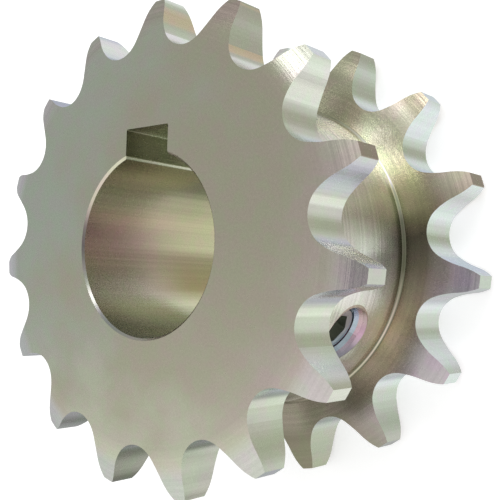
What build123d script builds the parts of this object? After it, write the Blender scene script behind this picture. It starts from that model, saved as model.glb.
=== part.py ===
from build123d import *
import os
from math import cos, radians, sin, sqrt, tan

# Double single sprocket for 1/2 inch pitch roller chain. Two equal toothed rows, a plain hub between
# them and a finished bore with a keyway are machined from one steel blank, and two set screws are run
# into the hub. Millimetres. The bore's axis is Z, the sprocket stands on its rear row's face at Z = 0,
# and the keyway and one tooth of each row point along +Y. Angles run clockwise from the keyway, seen
# from the front.

# ---- driving dimensions ----
# chain and teeth
chain_pitch = 12.7
roller_diameter = 7.92
tooth_count = 15
tooth_width = 6.9
outside_diameter = 66.8
relief_width = 1.6  # what the rounded side takes off the tooth's width at the tip
relief_height = 6.4  # how far the rounded side reaches in from the tip
# blank
overall_length = 35.0
hub_diameter = 46.0
hub_corner = 0.4  # bevel left by the turning tool where the hub meets a row
# bore
bore_diameter = 25.0
bore_chamfer = 0.3
keyway_width = 8.0
keyway_depth = 3.3  # from the wall of the bore to the floor of the keyway
keyway_chamfer = 0.25  # along both edges that the broach leaves in the bore
# tapped holes for the set screws, one over the keyway and one at its side
screw_diameter = 8.0
screw_height = 16.7  # of the screws' axes above the rear face
countersink_diameter = 9.0
countersink_angle = 90.0
side_screw_angle = 119.0
# set screws
screw_clearance = 0.05  # all round, between a screw and its hole
screw_chamfer = 0.9
socket_across_flats = 4.0
socket_depth = 3.0
cup_diameter = 5.0  # the cup that bites into the shaft or the key
cup_angle = 118.0
side_screw_length = 8.0
side_screw_gap = 0.9  # from the wall of the bore up to the screw's tip
side_screw_turn = 56.0  # where the socket stopped when the screw was run in
key_screw_length = 6.0
key_screw_gap = 0.2  # from the floor of the keyway up to the screw's tip
key_screw_turn = 47.0

# ---- worked out from them ----
inch = 25.4
outside_radius = outside_diameter / 2
hub_radius = hub_diameter / 2
bore_radius = bore_diameter / 2
keyway_floor = bore_radius + keyway_depth
half_length = overall_length / 2
half_tooth = 180 / tooth_count
pitch_radius = chain_pitch / (2 * sin(radians(half_tooth)))

# ---- tooth form: the standard one for roller chain, built round the centre of a seated roller ----
seat_radius = (1.005 * roller_diameter + 0.003 * inch) / 2
seat_angle = 35 + 60 / tooth_count
working_radius = 1.3025 * roller_diameter + 0.0015 * inch
working_offset = 0.8 * roller_diameter
working_angle = 18 - 56 / tooth_count
topping_offset = 1.4 * roller_diameter
topping_angle = 17 - 64 / tooth_count
working_drop = working_offset * sin(radians(working_angle))
topping_drop = topping_offset * sin(radians(topping_angle))
working_reach = working_offset * cos(radians(working_angle))
topping_reach = topping_offset * cos(radians(topping_angle))
topping_radius = working_reach + topping_reach - working_radius
# the point where both flanks of a tooth would meet if it weren't turned down to the outside diameter
point_height = sqrt(topping_radius**2 - (topping_offset - chain_pitch / 2) ** 2)
point_radius = pitch_radius * cos(radians(half_tooth)) + point_height
clear_radius = max(outside_radius, point_radius) + 1
tooth_axis = Vector(0, 1).rotate(Axis.Z, -half_tooth)

with BuildSketch() as tooth_gap:
    with BuildLine():
        roller = Vector(0, pitch_radius)
        working_centre = roller - Vector(working_offset, 0).rotate(Axis.Z, -seat_angle)
        seat = CenterArc(roller, seat_radius, -90, 90 - seat_angle)
        working = CenterArc(working_centre, working_radius, -seat_angle, working_angle)
        flank = Line(working @ 1, (working @ 1) + (working % 1) * (topping_drop - working_drop))
        topping = RadiusArc(flank @ 1, tooth_axis * point_radius, topping_radius)
        Line(topping @ 1, tooth_axis * clear_radius)
        RadiusArc(tooth_axis * clear_radius, (0, clear_radius), -clear_radius)
        mirror(about=Plane.YZ)
    make_face()


def outward_plane(angle, radius):
    """A plane across a set screw's axis, at a distance from the bore's axis, facing outwards."""
    outward = Vector(0, 1, 0).rotate(Axis.Z, -angle)
    return Plane(outward * radius + Vector(0, 0, screw_height), x_dir=(0, 0, 1), z_dir=outward)


# ---- sprocket ----
with BuildPart() as sprocket:
    # turned blank: the section of the rear row and its mirror image, and the hub that joins them
    with BuildSketch(Plane.XZ):
        with BuildLine():
            # a tooth's sides round off towards its tip, tangent to the row's faces
            relief_foot = outside_radius - relief_height
            relief_middle = outside_radius - relief_height / 2
            rear_side = Bezier((relief_foot, 0), (relief_middle, 0), (outside_radius, relief_width))
            inner_side = Bezier(
                (relief_foot, tooth_width),
                (relief_middle, tooth_width),
                (outside_radius, tooth_width - relief_width),
            )
            Line(rear_side @ 1, inner_side @ 1)
            Polyline(rear_side @ 0, (0, 0), (0, tooth_width), inner_side @ 0)
        make_face()
        mirror(about=Plane.XZ.offset(-half_length))
    revolve(axis=Axis.Z)
    with Locations((0, 0, half_length)):
        Cylinder(hub_radius, overall_length - tooth_width)
    chamfer(sprocket.edges(Select.NEW).filter_by(GeomType.CIRCLE), hub_corner)
    # teeth: the gaps of both rows are cut in line
    for row_face in (0, overall_length - tooth_width):
        with BuildSketch(Plane.XY.offset(row_face)):
            with PolarLocations(0, tooth_count, start_angle=half_tooth):
                add(tooth_gap.sketch)
        extrude(amount=tooth_width, mode=Mode.SUBTRACT)
    # bore, chamfered at both ends, and the keyway broached along it
    Hole(bore_radius)
    chamfer(sprocket.edges(Select.NEW).filter_by(GeomType.CIRCLE), bore_chamfer)
    with BuildSketch():
        Rectangle(keyway_width, keyway_floor, align=(Align.CENTER, Align.MIN))
    extrude(amount=overall_length, mode=Mode.SUBTRACT)
    chamfer(sprocket.edges(Select.NEW).filter_by(Axis.Z).group_by(Axis.Y)[0], keyway_chamfer)
    # tapped holes for the set screws, countersunk at the hub
    with Locations(outward_plane(0, hub_radius), outward_plane(side_screw_angle, hub_radius)):
        CounterSinkHole(
            radius=screw_diameter / 2,
            counter_sink_radius=countersink_diameter / 2,
            depth=hub_radius,
            counter_sink_angle=countersink_angle,
        )


# ---- set screws ----
def make_set_screw(angle, tip_radius, length, socket_turn):
    """A headless screw with a hexagon socket and a cup point, where it stands in the hub."""
    tip_plane = outward_plane(angle, tip_radius)
    head_plane = tip_plane.offset(length)
    cup_depth = cup_diameter / 2 / tan(radians(cup_angle / 2))
    with BuildPart() as screw:
        with BuildSketch(tip_plane):
            Circle(screw_diameter / 2 - screw_clearance)
        extrude(amount=length)
        chamfer(screw.edges().filter_by(GeomType.CIRCLE), screw_chamfer)
        with BuildSketch(head_plane):
            RegularPolygon(socket_across_flats / 2, 6, major_radius=False, rotation=socket_turn)
        extrude(amount=-socket_depth, mode=Mode.SUBTRACT)
        with Locations(tip_plane):
            Cone(
                bottom_radius=cup_diameter / 2,
                top_radius=0,
                height=cup_depth,
                align=(Align.CENTER, Align.CENTER, Align.MIN),
                mode=Mode.SUBTRACT,
            )
    return screw


side_set_screw = make_set_screw(
    side_screw_angle, bore_radius + side_screw_gap, side_screw_length, side_screw_turn
)
key_set_screw = make_set_screw(0, keyway_floor + key_screw_gap, key_screw_length, key_screw_turn)

# ---- write each piece ----
sprocket.part.label = "sprocket"
side_set_screw.part.label = "side_set_screw"
key_set_screw.part.label = "key_set_screw"

os.makedirs("parts", exist_ok=True)
export_step(sprocket.part, "parts/sprocket.step")
export_step(side_set_screw.part, "parts/side_set_screw.step")
export_step(key_set_screw.part, "parts/key_set_screw.step")
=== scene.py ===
from math import cos, pi, radians, sin

import bmesh
import bpy
from mathutils import Matrix, Vector


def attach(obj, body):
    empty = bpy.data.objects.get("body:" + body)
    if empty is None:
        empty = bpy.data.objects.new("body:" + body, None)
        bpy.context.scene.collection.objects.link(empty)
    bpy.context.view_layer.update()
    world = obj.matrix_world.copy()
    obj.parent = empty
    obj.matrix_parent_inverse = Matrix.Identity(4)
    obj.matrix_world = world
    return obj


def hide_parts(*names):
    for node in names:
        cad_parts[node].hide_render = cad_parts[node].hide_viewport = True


# Double single sprocket for roller chain, standing on its rear row's face. The bore's axis is Z, and
# the keyway points along +Y. Sizes are written in millimetres and angles in degrees.
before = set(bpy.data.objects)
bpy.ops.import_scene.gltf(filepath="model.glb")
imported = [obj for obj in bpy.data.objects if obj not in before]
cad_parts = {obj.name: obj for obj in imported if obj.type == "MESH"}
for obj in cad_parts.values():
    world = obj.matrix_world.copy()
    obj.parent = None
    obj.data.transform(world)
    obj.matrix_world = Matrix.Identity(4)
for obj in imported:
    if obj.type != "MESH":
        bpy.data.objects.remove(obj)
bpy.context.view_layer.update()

# ---- studio: camera ----
# A perspective camera above the right of the front row, with +Y upwards in its picture. The columns
# of its matrix are its directions to the right, upwards and backwards, and its place.
mm = 0.001
camera = bpy.data.objects.new("camera", bpy.data.cameras.new("camera"))
bpy.context.scene.collection.objects.link(camera)
camera.matrix_world = Matrix((
    (0.72752, 0.00094, 0.68609, 77.347 * mm),
    (0.03432, 0.99870, -0.03777, -4.548 * mm),
    (-0.68523, 0.05102, 0.72654, 107.696 * mm),
    (0, 0, 0, 1),
))
camera.data.sensor_width = 36
camera.data.lens = 57.339
camera.data.shift_x = 0.12
camera.data.clip_start = 5 * mm
bpy.context.scene.camera = camera
bpy.context.scene.view_settings.view_transform = "Standard"


# ---- studio: floor ----
# Matt white painted board, which the sprocket stands on. It glows enough to be seen as a white sweep
# that still holds the sprocket's soft shadow. The steel mirrors the room instead of the board.
def to_linear(hex_colour):
    """A colour written as an sRGB hex string, as the linear RGBA that a shader takes."""
    channels = [int(hex_colour[i:i + 2], 16) / 255 for i in (0, 2, 4)]
    return [c / 12.92 if c <= 0.04045 else ((c + 0.055) / 1.055) ** 2.4 for c in channels] + [1]


def add_node(tree, kind, inputs=None, **settings):
    """Adds a node, sets its own settings, and fills or links the inputs that are given."""
    node = tree.nodes.new(kind)
    for name, value in settings.items():
        setattr(node, name, value)
    for name, value in (inputs or {}).items():
        if isinstance(value, bpy.types.NodeSocket):
            tree.links.new(value, node.inputs[name])
        else:
            node.inputs[name].default_value = value
    return node


def new_material(name):
    """An empty node material and its tree."""
    material = bpy.data.materials.new(name)
    material.use_nodes = True
    material.node_tree.nodes.clear()
    return material, material.node_tree


def new_piece(name, bm, material):
    """Turns a finished bmesh into an object whose faces point outwards."""
    mesh = bpy.data.meshes.new(name)
    bmesh.ops.recalc_face_normals(bm, faces=bm.faces)
    bm.to_mesh(mesh)
    bm.free()
    mesh.materials.append(material)
    piece = bpy.data.objects.new(name, mesh)
    bpy.context.scene.collection.objects.link(piece)
    return piece


floor_radius = 3000
floor_glow = 0.45
white_board, tree = new_material("matt_white_board")
light_path = add_node(tree, "ShaderNodeLightPath")
seen = add_node(tree, "ShaderNodeMath", {
    0: light_path.outputs["Is Camera Ray"],
    1: light_path.outputs["Is Glossy Ray"],
}, operation="MAXIMUM")
glow = add_node(tree, "ShaderNodeMath", {0: seen.outputs[0], 1: floor_glow}, operation="MULTIPLY")
board_surface = add_node(tree, "ShaderNodeBsdfPrincipled", {
    "Base Color": to_linear("f2f2f2"),
    "Roughness": 0.9,
    "Specular IOR Level": 0.1,
    "Emission Color": to_linear("ffffff"),
    "Emission Strength": glow.outputs[0],
})
add_node(tree, "ShaderNodeOutputMaterial", {"Surface": board_surface.outputs[0]})
bm = bmesh.new()
bmesh.ops.create_circle(bm, cap_ends=True, segments=64, radius=floor_radius * mm)
floor = new_piece("floor", bm, white_board)
floor.visible_glossy = False

# ---- studio: light ----
# A room with plain light walls, and white and darker panels with faded edges, which only the steel
# mirrors, as soft bands. Two soft boxes over the sprocket add light and throw its soft shadow.
panels = (
    # turn about Z and height, radius of the panel and of its faded edge, colour
    (20, -52, 22, 36, "c9c9bb"),
    (92, -50, 12, 26, "e8e8e2"),
    (142, -50, 10, 30, "cdd1de"),
    (-52, -58, 12, 26, "fafbf4"),
    (-40, -52, 9, 13, "fdfdf6"),
    (-132, -32, 10, 24, "a0a098"),
    (-96, -33, 10, 25, "808076"),
    (-58, -30, 9, 23, "8a8a7e"),
    (-54, 40, 12, 24, "ffffff"),
    (-30, 26, 8, 24, "ffffff"),
    (-112, 28, 22, 62, "ffffff"),
    (52, 22, 6, 24, "ffffff"),
    (55, 42, 16, 30, "ffffff"),
    (-14, 75, 4, 11, "5c5c70"),
    (-10, -60, 7, 17, "ffffff"),
)
soft_boxes = (
    # name, turn about Z and height, width, depth, watts
    ("large_soft_box", 69, 41, 140, 90, 0.25),
    ("small_soft_box", 104, 50, 120, 100, 0.13),
)
soft_box_distance = 500


def direction_to(turn, height):
    """The direction at a turn about Z from +X, and at a height above or below the horizon."""
    level = cos(radians(height))
    return Vector((level * cos(radians(turn)), level * sin(radians(turn)), sin(radians(height))))


world = bpy.data.worlds.new("studio_room")
bpy.context.scene.world = world
world.use_nodes = True
tree = world.node_tree
tree.nodes.clear()
direction = add_node(tree, "ShaderNodeTexCoord").outputs["Generated"]
walls = to_linear("c6c7c8")
for turn, height, inner, outer, colour in panels:
    nearness = add_node(tree, "ShaderNodeVectorMath", {
        0: direction,
        1: direction_to(turn, height),
    }, operation="DOT_PRODUCT")
    panel = add_node(tree, "ShaderNodeMapRange", {
        "Value": nearness.outputs["Value"],
        "From Min": cos(radians(outer)),
        "From Max": cos(radians(inner)),
    }, interpolation_type="SMOOTHSTEP")
    walls = add_node(tree, "ShaderNodeMix", {
        "Factor": panel.outputs["Result"],
        "A": walls,
        "B": to_linear(colour),
    }, data_type="RGBA").outputs["Result"]
room = add_node(tree, "ShaderNodeBackground", {"Color": walls, "Strength": 1.0})
ambient = add_node(tree, "ShaderNodeBackground", {"Color": to_linear("ffffff"), "Strength": 0.8})
backdrop = add_node(tree, "ShaderNodeBackground", {"Color": to_linear("ffffff"), "Strength": 1.0})
light_path = add_node(tree, "ShaderNodeLightPath")
lit = add_node(tree, "ShaderNodeMixShader", {
    0: light_path.outputs["Is Glossy Ray"],
    1: ambient.outputs[0],
    2: room.outputs[0],
})
sky = add_node(tree, "ShaderNodeMixShader", {
    0: light_path.outputs["Is Camera Ray"],
    1: lit.outputs[0],
    2: backdrop.outputs[0],
})
add_node(tree, "ShaderNodeOutputWorld", {"Surface": sky.outputs[0]})

for name, turn, height, width, depth, watts in soft_boxes:
    soft_box = bpy.data.objects.new(name, bpy.data.lights.new(name, "AREA"))
    soft_box.data.shape = "RECTANGLE"
    soft_box.data.size = width * mm
    soft_box.data.size_y = depth * mm
    soft_box.data.energy = watts
    bpy.context.scene.collection.objects.link(soft_box)
    outward = direction_to(turn, height)
    aim = outward.to_track_quat("Z", "Y").to_matrix().to_4x4()
    soft_box.matrix_world = Matrix.Translation(outward * soft_box_distance * mm) @ aim

# ---- sprocket ----
# One steel blank, turned, bored, hobbed and broached, then zinc plated and passivated. The plating
# is satin, and its thin clear film tints each cut surface olive, pink, cream or pale green. Painted
# highlights, reflections and shade lie over these tints on most surfaces.
sprocket_length = 35
row_width = 6.9
hub_radius = 23
hub_bevel = 0.4
hub_middle = 17.5  # a radius inside the hub's steel, between the keyway and the outside
bore_radius = 12.5
bore_chamfer = 0.3
countersink_radius = 4.5
screw_height = 16.7
side_screw_turn = 119  # clockwise from the keyway

zinc_plate, tree = new_material("passivated_zinc_plate")
place = add_node(tree, "ShaderNodeTexCoord").outputs["Object"]
place_mm = add_node(tree, "ShaderNodeVectorMath", {
    0: place,
    "Scale": 1 / mm,
}, operation="SCALE").outputs[0]
along = add_node(tree, "ShaderNodeSeparateXYZ", {0: place_mm}).outputs
across = add_node(tree, "ShaderNodeVectorMath", {
    0: place_mm,
    1: (1, 1, 0),
}, operation="MULTIPLY").outputs[0]
radius = add_node(tree, "ShaderNodeVectorMath", {0: across}, operation="LENGTH").outputs["Value"]
bearing = add_node(tree, "ShaderNodeMath", {
    0: along["Y"],
    1: along["X"],
}, operation="ARCTAN2").outputs[0]
bearing = add_node(tree, "ShaderNodeMath", {0: bearing, 1: 180 / pi}, operation="MULTIPLY").outputs[0]
normal = add_node(tree, "ShaderNodeNewGeometry").outputs["Normal"]
facing = add_node(tree, "ShaderNodeSeparateXYZ", {0: normal}).outputs
face_on = add_node(tree, "ShaderNodeMath", {0: facing["Z"]}, operation="ABSOLUTE").outputs[0]
up_or_down = add_node(tree, "ShaderNodeMath", {0: facing["Y"]}, operation="ABSOLUTE").outputs[0]


def where(*limits):
    """A mask of the surface on which every limit holds. A limit is another mask, or a value and the
    two places between which its mask goes smoothly from 0 to 1."""
    mask = None
    for limit in limits:
        if isinstance(limit, tuple):
            value, start, full = limit
            share = add_node(tree, "ShaderNodeMapRange", {
                "Value": value,
                "From Min": start,
                "From Max": full,
            }, interpolation_type="SMOOTHSTEP").outputs["Result"]
        else:
            share = limit
        if mask is None:
            mask = share
        else:
            mask = add_node(tree, "ShaderNodeMath", {0: mask, 1: share}, operation="MULTIPLY").outputs[0]
    return mask


def lay_film(film, *tints):
    """Lays tints over a film, one after another. Each tint is a colour, written as a hex string or
    made by other nodes, and the limits that it lies within."""
    if isinstance(film, str):
        film = to_linear(film)
    for colour, *limits in tints:
        film = add_node(tree, "ShaderNodeMix", {
            "Factor": where(*limits),
            "A": film,
            "B": to_linear(colour) if isinstance(colour, str) else colour,
        }, data_type="RGBA").outputs["Result"]
    return film


def film_along(value, *stops):
    """A film whose colour changes along a value. Each stop is a value and the colour there."""
    low, high = stops[0][0], stops[-1][0]
    share = add_node(tree, "ShaderNodeMapRange", {"Value": value, "From Min": low, "From Max": high})
    ramp = add_node(tree, "ShaderNodeValToRGB", {"Fac": share.outputs["Result"]})
    elements = ramp.color_ramp.elements
    for number, (stop, colour) in enumerate(stops):
        if number in (0, len(stops) - 1):
            element = elements[-1 if number else 0]
        else:
            element = elements.new((stop - low) / (high - low))
        element.color = to_linear(colour)
    return ramp.outputs["Color"]


# The surfaces that the tools have cut: faces square to the bore, and walls along it. A relief is
# where a tooth's side rounds off towards its tip.
turned_face = where((face_on, 0.3, 0.6))
front_face = where(turned_face, (along["Z"], 10, 20))
rear_face = where(turned_face, (along["Z"], 20, 10))
inner_face = where(turned_face, (radius, 29, 27))
relief = where(turned_face, (radius, 28.5, 31))
wall = where((face_on, 0.6, 0.3))
tooth_wall = where(wall, (radius, hub_radius + 1, hub_radius + 2))
hub_wall = where(
    wall, (radius, hub_middle - 0.5, hub_middle + 0.5), (radius, hub_radius + 2, hub_radius + 1),
)
bore_wall = where(wall, (radius, hub_middle + 0.5, hub_middle - 0.5))

# Tool marks: rings on the turned faces, rings round the hub, and lines along the teeth and the bore.
# A lathe's feed and a hob's cuts leave them up to 0.45 mm apart, and on the hub they are drawn 0.75
# mm apart, so that they show. The plating's grain is finer, and is drawn 0.33 mm wide.
marks_per_mm = 2.2
hub_marks_share = 0.6
grains_per_mm = 3.0
rings = add_node(tree, "ShaderNodeCombineXYZ", {0: radius}).outputs[0]
feed = add_node(tree, "ShaderNodeMath", {
    0: along["Z"],
    1: hub_marks_share,
}, operation="MULTIPLY").outputs[0]
feed = add_node(tree, "ShaderNodeCombineXYZ", {0: feed}).outputs[0]
track = across
for surface, cut in ((turned_face, rings), (hub_wall, feed)):
    track = add_node(tree, "ShaderNodeMix", {
        "Factor": surface,
        "A": track,
        "B": cut,
    }, data_type="VECTOR").outputs["Result"]
marks = add_node(tree, "ShaderNodeTexNoise", {
    "Vector": track,
    "Scale": marks_per_mm,
    "Detail": 3.0,
    "Roughness": 0.6,
}).outputs["Fac"]
grain = add_node(tree, "ShaderNodeTexNoise", {
    "Vector": place_mm,
    "Scale": grains_per_mm,
    "Detail": 2.0,
}).outputs["Fac"]

# The film drifts in thickness, and so in colour, over some 11 mm. Added to a place or a bearing, the
# drift sways the tints that follow it.
drifts_per_mm = 0.09
drift = add_node(tree, "ShaderNodeTexNoise", {
    "Vector": place_mm,
    "Scale": drifts_per_mm,
    "Detail": 3.0,
    "Roughness": 0.55,
}).outputs["Fac"]
cloud = add_node(tree, "ShaderNodeMath", {0: drift, 1: 0.5}, operation="SUBTRACT").outputs[0]
sideways = add_node(tree, "ShaderNodeVectorMath", {
    0: place_mm,
    1: (0.9, -0.3, 0),
}, operation="DOT_PRODUCT").outputs["Value"]
swayed_side, swayed_height, swayed_bearing, swayed_hub_height = (
    add_node(tree, "ShaderNodeMath", {0: cloud, 1: sway, 2: value}, operation="MULTIPLY_ADD").outputs[0]
    for value, sway in ((sideways, 60.0), (along["Y"], 40.0), (bearing, 20.0), (along["Y"], 15.0))
)

# The front row's reliefs, and the painted highlight and shade that go round the bore's chamfer.
relief_film = film_along(
    bearing,
    (-180, "d6d3d8"), (-100, "c2c7bd"), (-36, "d2cfc8"), (-12, "d3cac6"), (18, "c6beb2"),
    (42, "d0cec4"), (56, "b2a698"), (72, "b8aea0"), (120, "b9b8ac"), (180, "d6d3d8"),
)
chamfer_rim = bore_radius + bore_chamfer
# Painted highlight and painted shade round the chamfer, brightest at 50 degrees.
chamfer_painted_light = film_along(
    bearing,
    (-180, "847c7a"), (-155, "96968e"), (-120, "9c9c9a"), (-60, "d4d0b8"), (-10, "b2b098"),
    (50, "fbfadf"), (100, "aeac94"), (114, "dcd8c0"), (150, "d2c6b6"), (168, "9a8e8a"),
    (180, "847c7a"),
)

# The rear row's faces, darker and browner, with painted fans of highlight and shade round them, and a
# painted highlight and shade on the bevel where the hub meets the row.
bevel_rim = hub_radius + hub_bevel
# Painted highlight and painted shade round the bevel, white at 27 degrees and dark below.
bevel_painted_light = film_along(
    swayed_bearing,
    (-180, "8c8a76"), (-150, "8c8a76"), (-84, "565546"), (-56, "beb8a0"), (-30, "e4d8c4"),
    (-4, "787660"), (14, "787b66"), (22, "aeb298"), (27, "ffffff"), (40, "f4f6e6"),
    (53, "d8dac0"), (62, "90907a"), (76, "c0c0a6"), (150, "8c8a76"), (180, "8c8a76"),
)
# A painted fan of highlight and shade round the rear row's face, near the hub.
rear_inner_painted_fan = film_along(
    swayed_bearing,
    (-180, "a09a88"), (-150, "a09a88"), (-115, "928c78"), (-75, "aca692"), (-55, "867f73"),
    (-25, "ccbca0"), (-6, "988d7e"), (10, "726e60"), (24, "dfdeb6"), (40, "f6f6dc"),
    (54, "bfb99e"), (115, "b0ab97"), (150, "a09a88"), (180, "a09a88"),
)
# A painted fan of highlight and shade out at the rear teeth, with a painted highlight on one tip at 86
# degrees.
rear_outer_painted_fan = film_along(
    swayed_bearing,
    (-180, "989684"), (-150, "989684"), (-115, "76765f"), (-60, "8f8b76"), (-34, "cbc0c4"),
    (-4, "ccc3c8"), (12, "aa9e8c"), (30, "f0e9d4"), (42, "e2dcca"), (54, "b6b29a"),
    (72, "b6b29a"), (86, "fbfbf6"), (100, "b6b29a"), (115, "b0ab97"), (150, "989684"),
    (180, "989684"),
)
rear_film_and_painted_light = lay_film(
    rear_inner_painted_fan,
    (rear_outer_painted_fan, (radius, 26, 29)),
    # A painted darker patch on the upper rear reliefs, a painted shadow line beside the bevel, and the
    # bevel's painted light.
    ("aca490", (radius, 29.5, 31.5), (swayed_bearing, 32, 37), (swayed_bearing, 62, 56)),
    ("868470", (radius, bevel_rim + 0.1, bevel_rim + 0.02), (swayed_bearing, 24, 12)),
    (
        bevel_painted_light,
        (radius, hub_radius + 0.08, hub_radius + 0.14), (radius, bevel_rim - 0.08, bevel_rim - 0.14),
    ),
)

# The teeth's flanks, pale grey-green, with painted highlights, reflections and shade that follow how
# far a flank faces up or down. The rear row's flanks are darker towards the bottom. The tips at the
# right are browner.
upper_teeth = where((along["Y"], 18, 24))
# The film's drift, then painted highlights, reflections and shade by how far each front flank faces up
# or down.
front_tooth_film_and_painted_light = lay_film(
    "d1d7c7",
    ("cdcfc5", (drift, 0.38, 0.62)),
    ("e9dac4", (facing["Y"], 0.02, 0.12), (facing["Y"], 0.36, 0.26), upper_teeth, (radius, 33.3, 33.1)),
    ("eaf0e4", (facing["Y"], -0.24, -0.36), (facing["Y"], -0.62, -0.5)),
    ("e6ecf0", (up_or_down, 0.5, 0.8)),
    ("f6f8fa", (up_or_down, 0.38, 0.52), upper_teeth),
    ("d2d8de", (up_or_down, 0.85, 0.97)),
    ("c8ccd2", (up_or_down, 0.74, 0.86), (along["Y"], 8, 16)),
    ("f0f4ff", (facing["Y"], -0.72, -0.85)),
    ("c6c8da", (facing["Y"], 0.5, 0.8), (along["Y"], 6, 3), (along["Y"], -5, -3)),
)
# Painted highlights by how far each rear flank faces up or down, and darker towards the bottom.
rear_tooth_film_and_painted_light = lay_film(
    "cdd5ca",
    ("e8f1f4", (up_or_down, 0.15, 0.55)),
    ("fbfffd", (facing["Y"], -0.72, -0.88)),
    ("b4b8a4", (along["Y"], -18, -34)),
)
tooth_film_and_painted_light = lay_film(
    rear_tooth_film_and_painted_light,
    (front_tooth_film_and_painted_light, (along["Z"], 16, 18)),
    ("a89c90", (radius, 33.25, 33.35), (swayed_bearing, 6, 10), (swayed_bearing, 32, 28)),
)

# The hub, down to the rear row's bevel, with painted bands of highlight and shade, and the bore, with
# painted bands of light and shade, and its keyway, with a painted highlight along its edges.
bevel_top = row_width + hub_bevel
# Painted bands of highlight and shade up and down the hub, with painted shade at its bottom.
hub_film_and_painted_light = film_along(
    swayed_hub_height,
    (-23, "8c8c84"), (-20, "dcdcd4"), (-14, "ffffff"), (-9, "e8e8da"), (-4, "fcfff8"),
    (2, "d8d7ce"), (8, "d0c8bc"), (14, "f0f0ea"), (18.5, "f6f8fc"), (22, "bcbeb6"),
)
# The bevel's painted highlight and shade run up the hub's foot.
hub_film_and_painted_light = lay_film(hub_film_and_painted_light, (bevel_painted_light, (along["Z"], bevel_top + 2.3, bevel_top)))
# Painted bands of highlight and shade up and down the bore's walls, near the front and deep inside.
bore_front_painted_light = film_along(
    along["Y"],
    (-12.4, "c0ccd0"), (-11, "bcc3c4"), (-8.7, "f0ebe6"), (-5, "fff4f0"), (-1, "d2b8bc"),
    (2, "cfb3b4"), (4.5, "dcc0b6"), (7, "ffefdd"), (9.5, "d0c6b8"), (12, "b6b4a4"),
)
bore_deep_painted_light = film_along(
    along["Y"],
    (-12, "848b76"), (-8.4, "e4e6c4"), (-6, "beb08a"), (-1, "bab296"), (0.5, "d9d6b4"),
    (4, "cbc8a4"), (7, "d4d2b0"), (9.5, "bcbc9a"), (12, "a4a88c"),
)
bore_film_and_painted_light = lay_film(bore_deep_painted_light, (bore_front_painted_light, (along["Z"], 12, 30)))
keyway_film = lay_film("d9dbc7", ("b4b2a0", (along["Z"], sprocket_length - 4, sprocket_length)))


# The countersink over the side screw, pink and greyer below, with a pale blue inner edge.
def from_screw_axis(turn):
    """How far the surface is beside a set screw's axis, and how far outwards along it."""
    outward = (sin(radians(turn)), cos(radians(turn)), 0)
    from_centre = add_node(tree, "ShaderNodeVectorMath", {
        0: place_mm,
        1: (0, 0, screw_height),
    }, operation="SUBTRACT").outputs[0]
    offset = add_node(tree, "ShaderNodeVectorMath", {
        0: from_centre,
        1: outward,
    }, operation="CROSS_PRODUCT").outputs[0]
    beside = add_node(tree, "ShaderNodeVectorMath", {0: offset}, operation="LENGTH")
    outwards = add_node(tree, "ShaderNodeVectorMath", {
        0: from_centre,
        1: outward,
    }, operation="DOT_PRODUCT")
    return beside.outputs["Value"], outwards.outputs["Value"]


beside, outwards = from_screw_axis(side_screw_turn)
countersink_film = film_along(along["Y"], (-14.5, "a3a4b0"), (-11, "d2b0bf"), (-8, "c2b3a6"))
countersink_film = lay_film(countersink_film, ("b6c2ce", (beside, 3.72, 3.66)))

# All the films and the painted light and shade together, over the olive and green of the front row's
# ground face.
film = lay_film(
    "bcc3b4",
    ("bcb8a2", (swayed_side, -30, 10)),
    ("c6bbb0", (swayed_side, 12, 34)),
    ("c9c9b4", (swayed_height, -14, -30)),
    (relief_film, relief),
    (chamfer_painted_light, turned_face, (radius, chamfer_rim + 0.02, chamfer_rim - 0.01)),
    (rear_film_and_painted_light, rear_face),
    (tooth_film_and_painted_light, tooth_wall),
    (hub_film_and_painted_light, hub_wall),
    (bore_film_and_painted_light, bore_wall),
    (keyway_film, bore_wall, (radius, bore_radius + 0.1, bore_radius + 0.4)),
    # A painted highlight along the keyway's edges, where they meet the bore.
    (
        "fffff0", bore_wall,
        (radius, bore_radius + 0.02, bore_radius + 0.06), (radius, chamfer_rim + 0.1, chamfer_rim),
    ),
    (
        countersink_film,
        (beside, countersink_radius + 0.02, countersink_radius - 0.02),
        (outwards, hub_middle - 0.5, hub_middle + 0.5),
    ),
)

# The marks are hardly seen on the front row's ground face, deep on the hub and the upper reliefs,
# and shallow on the hobbed teeth.
ground_face = where(front_face, inner_face)
upper_relief = add_node(tree, "ShaderNodeMapRange", {
    "Value": along["Y"],
    "From Min": -14,
    "From Max": 4,
    "To Min": 0.1,
    "To Max": 0.8,
}).outputs["Result"]
rough_cut = add_node(tree, "ShaderNodeMath", {
    0: hub_wall,
    1: where(relief, upper_relief),
}, operation="MAXIMUM").outputs[0]
depth = add_node(tree, "ShaderNodeMath", {0: marks, 1: 0.5}, operation="SUBTRACT").outputs[0]
for surface, strength in ((ground_face, 0.12), (rough_cut, 2.5), (tooth_wall, 0.45)):
    depth = add_node(tree, "ShaderNodeMath", {
        0: depth,
        1: add_node(tree, "ShaderNodeMapRange", {
            "Value": surface,
            "To Min": 1.0,
            "To Max": strength,
        }).outputs["Result"],
    }, operation="MULTIPLY").outputs[0]

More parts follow.
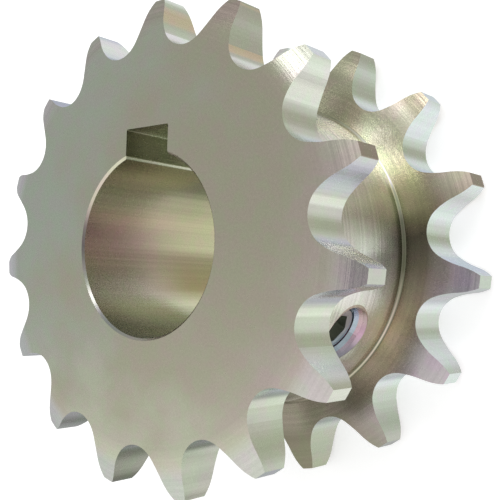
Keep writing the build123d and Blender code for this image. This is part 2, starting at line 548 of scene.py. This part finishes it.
# The marks, the grain and faint patches 2.5 mm wide shade the film a little.
patches_per_mm = 0.4
streaks = add_node(tree, "ShaderNodeMath", {
    0: depth,
    1: 0.35,
    2: 1.0,
}, operation="MULTIPLY_ADD").outputs[0]
mottle = add_node(tree, "ShaderNodeMapRange", {
    "Value": grain,
    "From Min": 0.3,
    "From Max": 0.7,
    "To Min": 0.96,
    "To Max": 1.03,
}).outputs["Result"]
patches = add_node(tree, "ShaderNodeTexNoise", {
    "Vector": place_mm,
    "Scale": patches_per_mm,
    "Detail": 2.0,
}).outputs["Fac"]
patch_tint = lay_film("fffaff", ("fafffa", (patches, 0.38, 0.62)))
for shade in (streaks, mottle, patch_tint):
    film = add_node(tree, "ShaderNodeMix", {
        "Factor": 1.0,
        "A": film,
        "B": shade,
    }, data_type="RGBA", blend_type="MULTIPLY").outputs["Result"]
satin = add_node(tree, "ShaderNodeMapRange", {
    "Value": grain,
    "To Min": 0.24,
    "To Max": 0.29,
}).outputs["Result"]
marks_bump = add_node(tree, "ShaderNodeBump", {
    "Strength": 1.0,
    "Distance": 0.02 * mm,
    "Height": depth,
}).outputs["Normal"]

# The rings that the lathe has cut on the rear row's face and round the hub spread a highlight across
# themselves. Their lay is the direction that it spreads in.
lay = add_node(tree, "ShaderNodeMix", {
    "Factor": turned_face,
    "A": (0, 0, 1),
    "B": across,
}, data_type="VECTOR").outputs["Result"]
lathe_cut = add_node(tree, "ShaderNodeMath", {
    0: where(rear_face, (radius, 31, 29)),
    1: hub_wall,
}, operation="MAXIMUM").outputs[0]
spread = add_node(tree, "ShaderNodeMath", {0: lathe_cut, 1: 0.85}, operation="MULTIPLY").outputs[0]
plate_surface = add_node(tree, "ShaderNodeBsdfPrincipled", {
    "Base Color": film,
    "Metallic": 1.0,
    "Roughness": satin,
    "Anisotropic": spread,
    "Tangent": lay,
    "Normal": marks_bump,
})
add_node(tree, "ShaderNodeOutputMaterial", {"Surface": plate_surface.outputs[0]})
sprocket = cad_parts["sprocket"]
sprocket.material_slots[0].link = "OBJECT"
sprocket.material_slots[0].material = zinc_plate

# ---- keyway corners ----
# The broach's rounded corners leave a small radius along both sides of the keyway's floor. They stop
# where the tapped hole over the keyway cuts through them.
keyway_half_width = 4
keyway_floor = 15.8
corner_radius = 0.25
corner_backing = 0.05  # how far a corner reaches into the keyway's walls
corner_end_gap = 0.02
hole_gap = 1.5  # from the tapped hole's axis
corner_runs = (
    (corner_end_gap, screw_height - hole_gap),
    (screw_height + hole_gap, sprocket_length - corner_end_gap),
)
corner_outline = [
    (corner_backing, corner_backing),
    (corner_backing, -corner_radius),
    (0, -corner_radius),
]
corner_outline += [
    (corner_radius * (cos(radians(turn)) - 1), corner_radius * (sin(radians(turn)) - 1))
    for turn in (15, 30, 45, 60, 75, 90)
]
corner_outline += [(-corner_radius, corner_backing)]

for name, side in (("keyway_corner_plus_x", 1), ("keyway_corner_minus_x", -1)):
    bm = bmesh.new()
    for low, high in corner_runs:
        verts = [
            bm.verts.new((side * (keyway_half_width + x) * mm, (keyway_floor + y) * mm, low * mm))
            for x, y in corner_outline
        ]
        end = bm.faces.new(verts)
        grown = bmesh.ops.extrude_face_region(bm, geom=[end], use_keep_orig=True)["geom"]
        top = [v for v in grown if isinstance(v, bmesh.types.BMVert)]
        bmesh.ops.translate(bm, verts=top, vec=(0, 0, (high - low) * mm))
    keyway_corner = new_piece(name, bm, zinc_plate)
    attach(keyway_corner, "root")

# ---- tapped holes ----
# The M8 thread that is cut in the hub behind each countersink: over the keyway, and 119 degrees
# clockwise from it. It is the hub's own plated steel, and its ridges stand inside the plain hole.
thread_pitch = 1.25
thread_steps = 48  # round one turn
tapped_crest = 3.33
tapped_root = 3.98
tapped_wall = 4.04  # in the hub's steel, behind the plain hole's wall
tapped_start = 0.15  # from the floor of the keyway, or from the wall of the bore
tapped_end = 22.49  # at the foot of the countersink
mouth_start = 21.45  # from here up the crests widen to the countersink
mouth_radius = 3.36
mouth_slope = 0.606
mouth_cuts = (21.3, mouth_start, 21.7, 22.0, 22.25)


def hub_place(turn):
    """Turns a piece modelled along +Z outwards from the bore, at an angle clockwise from the keyway."""
    outward = Vector((sin(radians(turn)), cos(radians(turn)), 0))
    aside = outward.cross((0, 0, 1))
    return Matrix((
        (0, aside.x, outward.x, 0),
        (0, aside.y, outward.y, 0),
        (1, 0, 0, screw_height * mm),
        (0, 0, 0, 1),
    ))


def cut_across(bm, height, clear=0):
    """Cuts new edges at a height, and clears what is above it (1), below it (-1) or nothing (0)."""
    bmesh.ops.bisect_plane(
        bm, geom=bm.verts[:] + bm.edges[:] + bm.faces[:], dist=0.0001 * mm,
        plane_co=(0, 0, height * mm), plane_no=(0, 0, clear or 1), clear_outer=clear != 0,
    )


def thread_body(bm, crest, root, first, last, phase):
    """Spins a zigzag of thread flanks by one turn and one pitch, and cuts it square at both ends."""
    flat = thread_pitch / 8
    start = (first // thread_pitch - 2) * thread_pitch + phase
    turns = int((last - first) / thread_pitch) + 5
    points = []
    for turn in range(turns):
        foot = start + turn * thread_pitch
        points += [(root, foot), (root, foot + 2 * flat)]
        points += [(crest, foot + 4.5 * flat), (crest, foot + 5.5 * flat)]
    points.append((root, start + turns * thread_pitch))
    verts = [bm.verts.new((r * mm, 0, z * mm)) for r, z in points]
    edges = [bm.edges.new(pair) for pair in zip(verts, verts[1:])]
    bmesh.ops.spin(
        bm, geom=verts + edges, axis=(0, 0, 1), angle=2 * pi, steps=thread_steps,
        dvec=(0, 0, thread_pitch * mm / thread_steps),
    )
    bmesh.ops.remove_doubles(bm, verts=bm.verts, dist=0.001 * mm)
    cut_across(bm, first, clear=-1)
    cut_across(bm, last, clear=1)


def rim_at(bm, height):
    """The open edges that lie at a height."""
    return [
        e for e in bm.edges
        if e.is_boundary and all(abs(v.co.z - height * mm) < 0.002 * mm for v in e.verts)
    ]


for name, turn, hole_end in (
    ("key_tapped_thread", 0, keyway_floor),
    ("side_tapped_thread", side_screw_turn, bore_radius),
):
    first = hole_end + tapped_start
    bm = bmesh.new()
    thread_body(bm, tapped_crest, tapped_root, first, tapped_end, thread_pitch / 2)
    for height in mouth_cuts:
        cut_across(bm, height)
    for vert in bm.verts:
        up_the_mouth = vert.co.z - mouth_start * mm
        if up_the_mouth > -0.01 * mm:
            vert.co.xy = vert.co.xy.normalized() * (mouth_radius * mm + up_the_mouth * mouth_slope)
    # the thread's back is closed by a plain wall, from rim to rim
    wall_edges = []
    for height in (first, tapped_end):
        grown = bmesh.ops.extrude_edge_only(bm, edges=rim_at(bm, height))["geom"]
        for vert in (v for v in grown if isinstance(v, bmesh.types.BMVert)):
            vert.co.xy = vert.co.xy.normalized() * tapped_wall * mm
        wall_edges += [e for e in grown if isinstance(e, bmesh.types.BMEdge)]
    bmesh.ops.bridge_loops(bm, edges=wall_edges)
    bm.transform(hub_place(turn))
    tapped_thread = new_piece(name, bm, zinc_plate)
    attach(tapped_thread, "root")

# ---- set screws ----
# Headless M8 screws with a hexagon socket and a cup point, hardened and bright zinc plated. Each is
# run into its tapped hole with a key until its cup bears on the shaft or on the key.
set_screws = (
    # name, node, turn, distance of the tip from the bore's axis, length, turn of the socket
    ("side_screw", "side_set_screw", side_screw_turn, 13.4, 8, 56),
    ("key_screw", "key_set_screw", 0, 16.0, 6, 47),
)
screw_crest = 3.93
screw_root = 3.2
end_chamfer = 0.9
chamfer_cut = 0.4  # an edge on the way up each chamfer
plain_edge = 0.3  # round the head, where the thread has run out
socket_width = 4.0
socket_depth = 3.0
socket_mouth = 2.55  # radius of the round mouth, which narrows to the hexagon
mouth_depth = 0.12
drill_point = 0.9  # below the hexagon's floor
cup_radius = 2.5
cup_depth = 1.5

# Bright zinc is cool grey and a little glossy, with soft streaks where the thread was rolled. It is
# bluer at the lower side of the screws, and down in the sockets a painted shade makes it dull and olive.
streaks_per_mm = 1.6
screw_plate, tree = new_material("bright_zinc_screw_plate")
place = add_node(tree, "ShaderNodeTexCoord").outputs["Object"]
place_mm = add_node(tree, "ShaderNodeVectorMath", {
    0: place,
    "Scale": 1 / mm,
}, operation="SCALE").outputs[0]
along = add_node(tree, "ShaderNodeSeparateXYZ", {0: place_mm}).outputs
sunk = []
for _, _, turn, tip, length, _ in set_screws:
    head = tip + length
    beside, outwards = from_screw_axis(turn)
    sunk.append(where(
        (beside, socket_mouth - 0.1, socket_mouth - 0.15), (outwards, head - 0.1, head - 0.3),
    ))
socket_painted_shade = add_node(tree, "ShaderNodeMath", {0: sunk[0], 1: sunk[1]}, operation="MAXIMUM").outputs[0]
# Painted shade, dull and olive, down in the hexagon sockets.
screw_film = lay_film("d0cccf", ("bccad2", (along["Y"], -9.6, -12.0)), ("b0b4a8", socket_painted_shade))
rolled = add_node(tree, "ShaderNodeTexNoise", {
    "Vector": place_mm,
    "Scale": streaks_per_mm,
    "Detail": 3.0,
}).outputs["Fac"]
gloss = add_node(tree, "ShaderNodeMapRange", {
    "Value": rolled,
    "To Min": 0.3,
    "To Max": 0.5,
}).outputs["Result"]
rolled_bump = add_node(tree, "ShaderNodeBump", {
    "Distance": 0.01 * mm,
    "Height": rolled,
}).outputs["Normal"]
screw_surface = add_node(tree, "ShaderNodeBsdfPrincipled", {
    "Base Color": screw_film,
    "Metallic": 1.0,
    "Roughness": gloss,
    "Normal": rolled_bump,
})
add_node(tree, "ShaderNodeOutputMaterial", {"Surface": screw_surface.outputs[0]})

for name, node, turn, tip, length, socket_turn in set_screws:
    head = tip + length
    bm = bmesh.new()
    thread_body(bm, screw_crest, screw_root, tip, head, 0)
    for height in (
        tip + chamfer_cut, tip + end_chamfer,
        head - end_chamfer, head - chamfer_cut, head - plain_edge,
    ):
        cut_across(bm, height)
    for vert in bm.verts:
        from_tip = vert.co.z / mm - tip
        from_head = head - vert.co.z / mm
        limit = (screw_crest - end_chamfer + max(min(from_tip, from_head), 0)) * mm
        if vert.co.xy.length > limit or from_head < plain_edge + 0.01:
            vert.co.xy = vert.co.xy.normalized() * limit
    for height, inner in ((tip, cup_radius), (head, socket_mouth)):
        rim = rim_at(bm, height)
        ring = bmesh.ops.create_circle(
            bm, segments=thread_steps, radius=inner * mm, matrix=Matrix.Translation((0, 0, height * mm)),
        )
        ring_edges = list(dict.fromkeys(e for v in ring["verts"] for e in v.link_edges))
        bmesh.ops.bridge_loops(bm, edges=rim + ring_edges)
        if height == tip:
            # the cup narrows to a point
            grown = bmesh.ops.extrude_edge_only(bm, edges=ring_edges)["geom"]
            for vert in (v for v in grown if isinstance(v, bmesh.types.BMVert)):
                vert.co = (0, 0, (tip + cup_depth) * mm)
            continue
        # the socket goes from its mouth down the hexagon to the drill's point
        for drop, width in (
            (mouth_depth, socket_width),
            (socket_depth, socket_width),
            (socket_depth + drill_point, 0),
        ):
            grown = bmesh.ops.extrude_edge_only(bm, edges=ring_edges)["geom"]
            ring_edges = [e for e in grown if isinstance(e, bmesh.types.BMEdge)]
            for vert in (v for v in grown if isinstance(v, bmesh.types.BMVert)):
                vert_turn = Vector((1, 0)).angle_signed(vert.co.xy) if vert.co.xy.length else 0
                from_flat = (-vert_turn - radians(socket_turn)) % (pi / 3) - pi / 6
                vert.co.xy = vert.co.xy.normalized() * width / 2 / cos(from_flat) * mm
                vert.co.z = (head - drop) * mm
    bmesh.ops.remove_doubles(bm, verts=bm.verts, dist=0.001 * mm)
    bm.transform(hub_place(turn))
    set_screw = new_piece(name, bm, screw_plate)
    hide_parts(node)
    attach(set_screw, "root")
